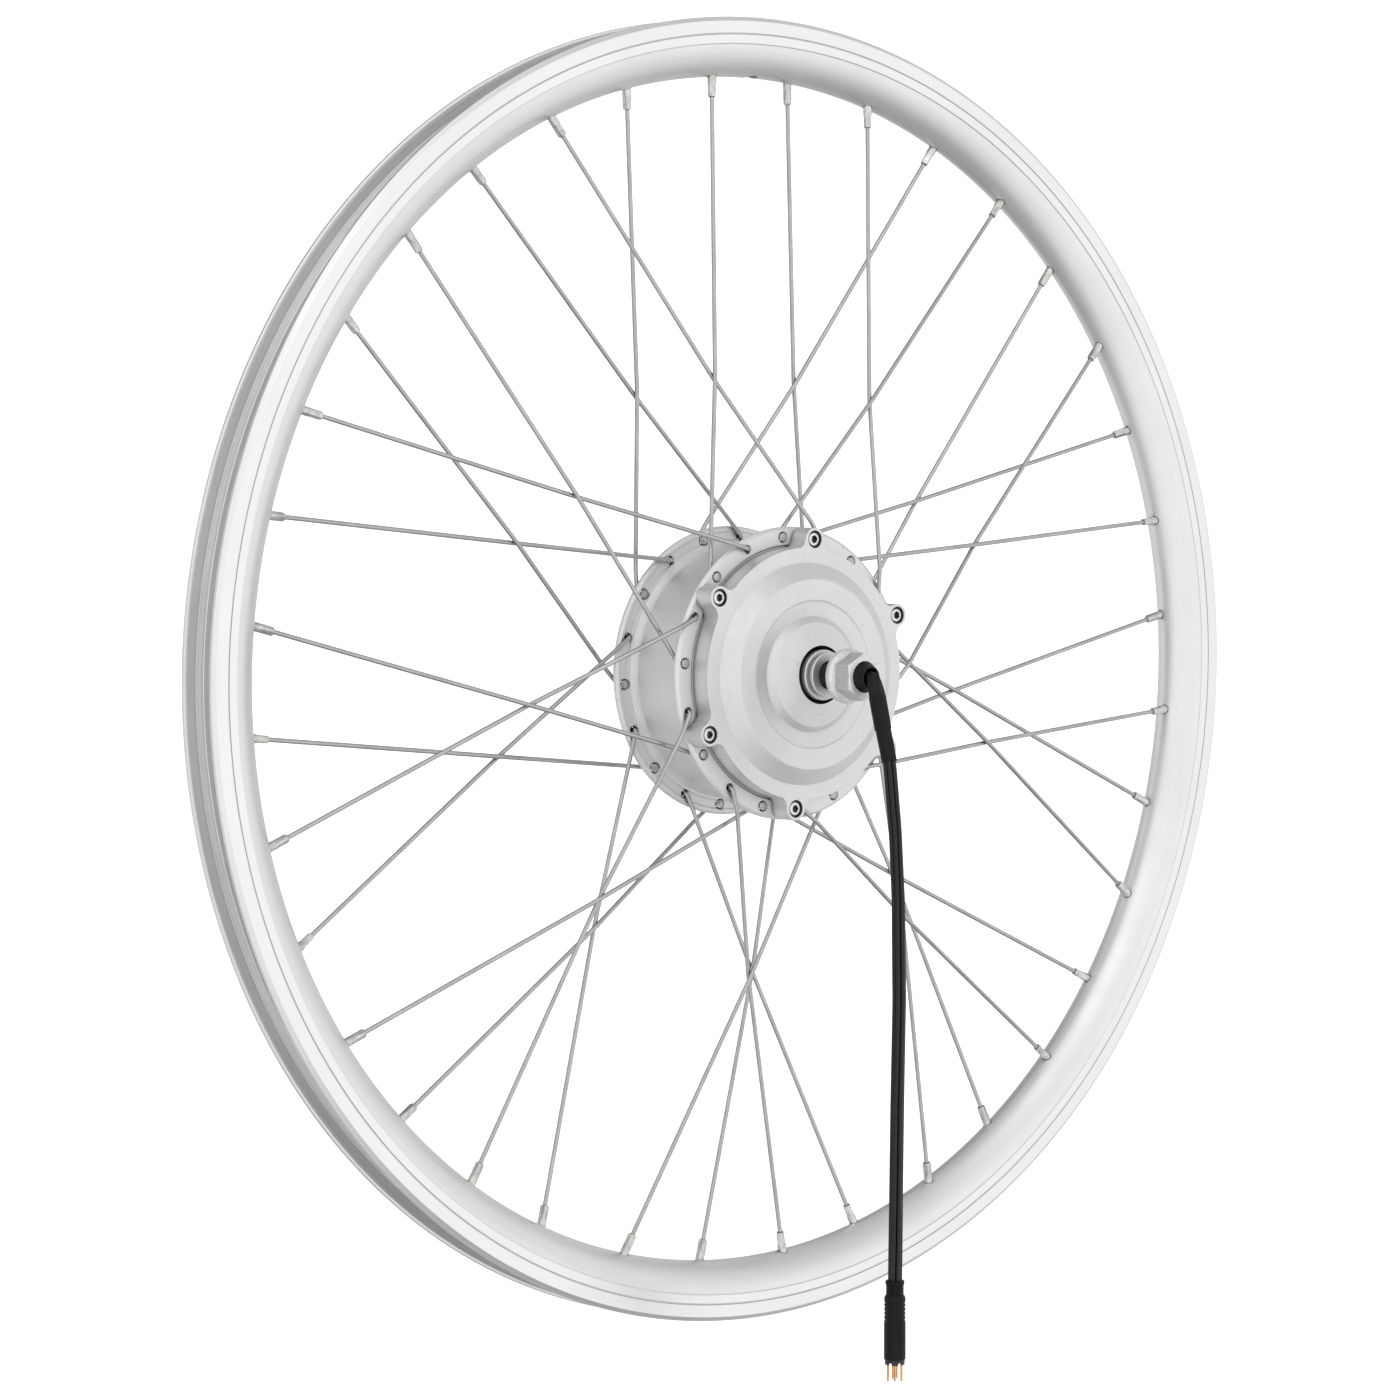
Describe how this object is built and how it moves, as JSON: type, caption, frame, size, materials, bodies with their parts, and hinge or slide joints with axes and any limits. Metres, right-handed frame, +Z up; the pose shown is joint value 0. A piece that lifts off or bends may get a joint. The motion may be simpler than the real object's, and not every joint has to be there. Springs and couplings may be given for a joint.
{
  "type": "hub motor wheel",
  "caption": "Spoked bicycle wheel with a geared electric motor in its hub: double-wall rim, crossed spokes, threaded hollow axle with nuts, and a hanging cable with a round plug.",
  "frame": {"origin": "on the axle's axis, midway between the two spoke flanges of the hub, which is also the wheel's centre of volume within 3 mm; the rim's mid-plane is 8.55 mm from it towards +Y", "axes": "the axle runs along Y, with the cable side at -Y; Z is up and the cable hangs down from the axle's end; X is across the wheel"},
  "size_m": [0.5714, 0.1856, 0.5861],
  "materials": {
    "rim_alloy": "satin, with machined brake tracks",
    "hub_alloy": "satin silver",
    "stainless": "polished stainless",
    "zinc_plate": "zinc plated",
    "black_steel": "black oxide",
    "bearing_steel": "ground",
    "gear_steel": "machined",
    "gear_nylon": "moulded",
    "lamination": "stacked sheet",
    "copper": "enamelled wire",
    "magnet": "nickel plated",
    "seal_rubber": "matte",
    "cable_jacket": "satin",
    "plug_plastic": "satin",
    "gold_pin": "gold plated",
    "board_green": "solder mask"
  },
  "bodies": {
    "axle_assembly": {"axle": "black_steel", "near_nut": "zinc_plate", "far_nut": "zinc_plate", "near_spacer": "bearing_steel", "far_spacer": "bearing_steel", "near_bearing_inner": "bearing_steel", "far_bearing_inner": "bearing_steel", "one_way_clutch": "bearing_steel", "planet_carrier": "gear_steel", "stator_core": "lamination", "stator_winding": "copper", "hall_board": "board_green", "motor_cable": "cable_jacket", "cable_sleeve": "cable_jacket", "connector_body": "plug_plastic", "connector_pins": "gold_pin"},
    "wheel": {"rim": "rim_alloy", "hub_shell": "hub_alloy", "side_cover": "hub_alloy", "ring_gear": "gear_steel", "near_seal": "seal_rubber", "far_seal": "seal_rubber", "near_bearing_outer": "bearing_steel", "far_bearing_outer": "bearing_steel", "cover_screw_1": "black_steel", "cover_screw_2": "black_steel", "cover_screw_3": "black_steel", "cover_screw_4": "black_steel", "cover_screw_5": "black_steel", "cover_screw_6": "black_steel", "near_spoke_pair_1": "stainless", "near_spoke_pair_2": "stainless", "near_spoke_pair_3": "stainless", "near_spoke_pair_4": "stainless", "near_spoke_pair_5": "stainless", "near_spoke_pair_6": "stainless", "near_spoke_pair_7": "stainless", "near_spoke_pair_8": "stainless", "near_spoke_pair_9": "stainless", "far_spoke_pair_1": "stainless", "far_spoke_pair_2": "stainless", "far_spoke_pair_3": "stainless", "far_spoke_pair_4": "stainless", "far_spoke_pair_5": "stainless", "far_spoke_pair_6": "stainless", "far_spoke_pair_7": "stainless", "far_spoke_pair_8": "stainless", "far_spoke_pair_9": "stainless"},
    "rotor": {"rotor_can": "gear_steel", "magnet_ring": "magnet", "rotor_bush": "bearing_steel", "sun_gear": "gear_steel"},
    "planet_1": {"planet_gear_1": "gear_nylon"},
    "planet_2": {"planet_gear_2": "gear_nylon"},
    "planet_3": {"planet_gear_3": "gear_nylon"},
    "near_balls": {"near_ball_cage": "bearing_steel"},
    "far_balls": {"far_ball_cage": "bearing_steel"}
  },
  "joints": [
    {"name": "wheel_spin", "type": "hinge", "parent": "axle_assembly", "child": "wheel", "pos_m": [0, 0, 0], "axis": [0, 1, 0], "continuous": true},
    {"name": "rotor_spin", "type": "hinge", "parent": "axle_assembly", "child": "rotor", "pos_m": [0, 0, 0], "axis": [0, 1, 0], "continuous": true},
    {"name": "planet_1_spin", "type": "hinge", "parent": "axle_assembly", "child": "planet_1", "pos_m": [0.02475, 0, 0], "axis": [0, 1, 0], "continuous": true},
    {"name": "planet_2_spin", "type": "hinge", "parent": "axle_assembly", "child": "planet_2", "pos_m": [-0.01238, 0, 0.02143], "axis": [0, 1, 0], "continuous": true},
    {"name": "planet_3_spin", "type": "hinge", "parent": "axle_assembly", "child": "planet_3", "pos_m": [-0.01238, 0, -0.02143], "axis": [0, 1, 0], "continuous": true},
    {"name": "near_balls_spin", "type": "hinge", "parent": "axle_assembly", "child": "near_balls", "pos_m": [0, 0, 0], "axis": [0, 1, 0], "continuous": true},
    {"name": "far_balls_spin", "type": "hinge", "parent": "axle_assembly", "child": "far_balls", "pos_m": [0, 0, 0], "axis": [0, 1, 0], "continuous": true}
  ],
  "couplings": [
    {"joint": "rotor_spin", "follows": "wheel_spin", "ratio": -4.5},
    {"joint": "planet_1_spin", "follows": "wheel_spin", "ratio": 2.5714},
    {"joint": "planet_2_spin", "follows": "wheel_spin", "ratio": 2.5714},
    {"joint": "planet_3_spin", "follows": "wheel_spin", "ratio": 2.5714},
    {"joint": "near_balls_spin", "follows": "wheel_spin", "ratio": 0.588},
    {"joint": "far_balls_spin", "follows": "wheel_spin", "ratio": 0.588}
  ]
}
